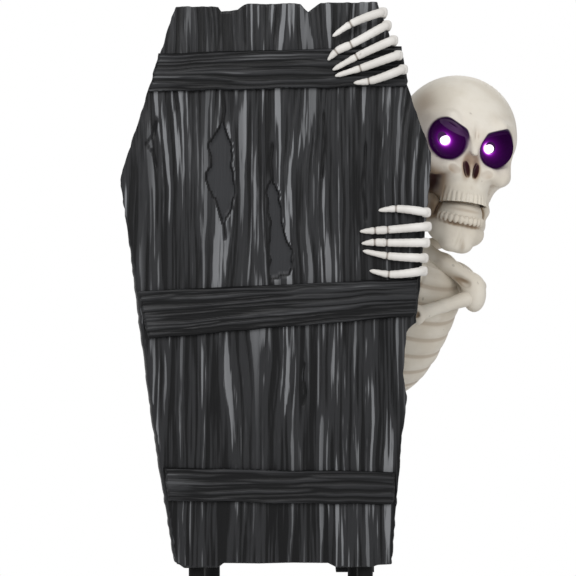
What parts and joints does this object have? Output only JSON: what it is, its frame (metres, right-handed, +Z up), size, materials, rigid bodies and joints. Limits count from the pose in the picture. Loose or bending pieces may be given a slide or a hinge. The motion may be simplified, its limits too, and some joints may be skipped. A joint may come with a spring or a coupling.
{
  "type": "animated coffin skeleton figure",
  "caption": "Skeleton that leans out from behind a coffin-shaped board on a tube stand; swinging torso, turning head, opening jaw, glowing eyes, bony hands gripping the edge.",
  "frame": {"origin": "middle of the overall footprint, on the floor", "axes": "+Z up, the coffin front faces -Y, +X to the right of someone who looks at the front"},
  "size_m": [0.5109, 0.418, 0.914],
  "materials": {
    "coffin_plastic": "satin black moulded plastic, dry-brushed grey along the wood grain",
    "hand_paint": "satin off-white paint on moulded plastic",
    "bone_plastic": "satin ivory with brown washes in the hollows",
    "tube_steel": "gloss black powder coat",
    "fitting_plastic": "fine-textured black",
    "foot_rubber": "matt black",
    "screw_steel": "zinc plated",
    "motor_steel": "nickel plated can",
    "gear_nylon": "natural nylon",
    "bush_brass": "plain",
    "socket_purple": "deep purple eye socket lining",
    "eye_light": "frosted lamp lens",
    "button_red": "plain",
    "switch_white": "plain",
    "cell_sleeve": "plain dark sleeve",
    "board_green": "solder mask"
  },
  "bodies": {
    "stand": {"batten_bottom": "coffin_plastic", "batten_middle": "coffin_plastic", "batten_top": "coffin_plastic", "battery_cells": "cell_sleeve", "circuit_board": "board_green", "coffin_back": "coffin_plastic", "coffin_front": "coffin_plastic", "control_box_body": "fitting_plastic", "control_box_cover": "fitting_plastic", "drive_box_body": "fitting_plastic", "drive_box_cover": "fitting_plastic", "drive_bushes": "bush_brass", "drive_motor": "motor_steel", "drive_plate": "tube_steel", "drive_screws": "screw_steel", "foot_pads": "foot_rubber", "front_tee_left": "fitting_plastic", "front_tee_right": "fitting_plastic", "front_upright_left": "tube_steel", "front_upright_right": "tube_steel", "leg_clamps": "fitting_plastic", "lower_hand": "hand_paint", "panel_screws": "screw_steel", "plate_clamps": "fitting_plastic", "rear_corner_left": "fitting_plastic", "rear_corner_right": "fitting_plastic", "rear_cross_tube": "tube_steel", "rear_upright_left": "tube_steel", "rear_upright_right": "tube_steel", "skid_end_caps": "foot_rubber", "skid_left": "tube_steel", "skid_right": "tube_steel", "speaker": "fitting_plastic", "upper_hand": "hand_paint"},
    "torso": {"output_shaft": "screw_steel", "sector_gear": "gear_nylon", "swing_arm": "tube_steel", "arm_screws": "screw_steel", "spine_tube": "tube_steel", "rib_cage_front": "bone_plastic", "rib_cage_back": "bone_plastic", "collar_bones": "bone_plastic", "upper_arm_left": "bone_plastic", "upper_arm_right": "bone_plastic", "neck_bracket": "fitting_plastic", "neck_motor": "fitting_plastic", "neck_bones": "bone_plastic"},
    "head": {"neck_shaft": "screw_steel", "skull_front": "bone_plastic", "skull_back": "bone_plastic", "eye_cups": "socket_purple", "eye_lenses": "eye_light", "jaw_motor": "fitting_plastic"},
    "jaw": {"jaw_bone": "bone_plastic", "jaw_pins": "screw_steel"},
    "pinion": {"drive_pinion": "gear_nylon"},
    "door": {"battery_door": "fitting_plastic"},
    "button": {"try_me_button": "button_red"},
    "switch": {"power_switch": "switch_white"}
  },
  "joints": [
    {"name": "peek_swing", "type": "hinge", "parent": "stand", "child": "torso", "pos_m": [0.00855, 0.1042, 0.316], "axis": [0, 1, 0], "range_deg": [-28, 2]},
    {"name": "pinion_spin", "type": "hinge", "parent": "stand", "child": "pinion", "pos_m": [-0.03646, 0.1042, 0.316], "axis": [0, 1, 0], "range_deg": [-10, 114]},
    {"name": "head_turn", "type": "hinge", "parent": "torso", "child": "head", "pos_m": [0.1629, 0.11671, 0.66244], "axis": [0.1142, 0.1016, 0.9882], "range_deg": [-13, 15]},
    {"name": "jaw_open", "type": "hinge", "parent": "head", "child": "jaw", "pos_m": [0.17102, 0.09787, 0.68773], "axis": [0.9629, 0.2334, -0.1353], "range_deg": [-5, 8]},
    {"name": "battery_door_hinge", "type": "hinge", "parent": "stand", "child": "door", "pos_m": [0.04254, 0.15605, 0.19055], "axis": [-1, 0, 0], "range_deg": [0, 100]},
    {"name": "try_me_press", "type": "slide", "parent": "stand", "child": "button", "axis": [0, 0, -1], "range_m": [0, 0.0025], "stiffness_N_per_m": 400, "springref_m": -0.001},
    {"name": "power_switch_slide", "type": "slide", "parent": "stand", "child": "switch", "axis": [0, 1, 0], "range_m": [0, 0.004]}
  ],
  "couplings": [
    {"joint": "pinion_spin", "follows": "peek_swing", "ratio": -4}
  ]
}
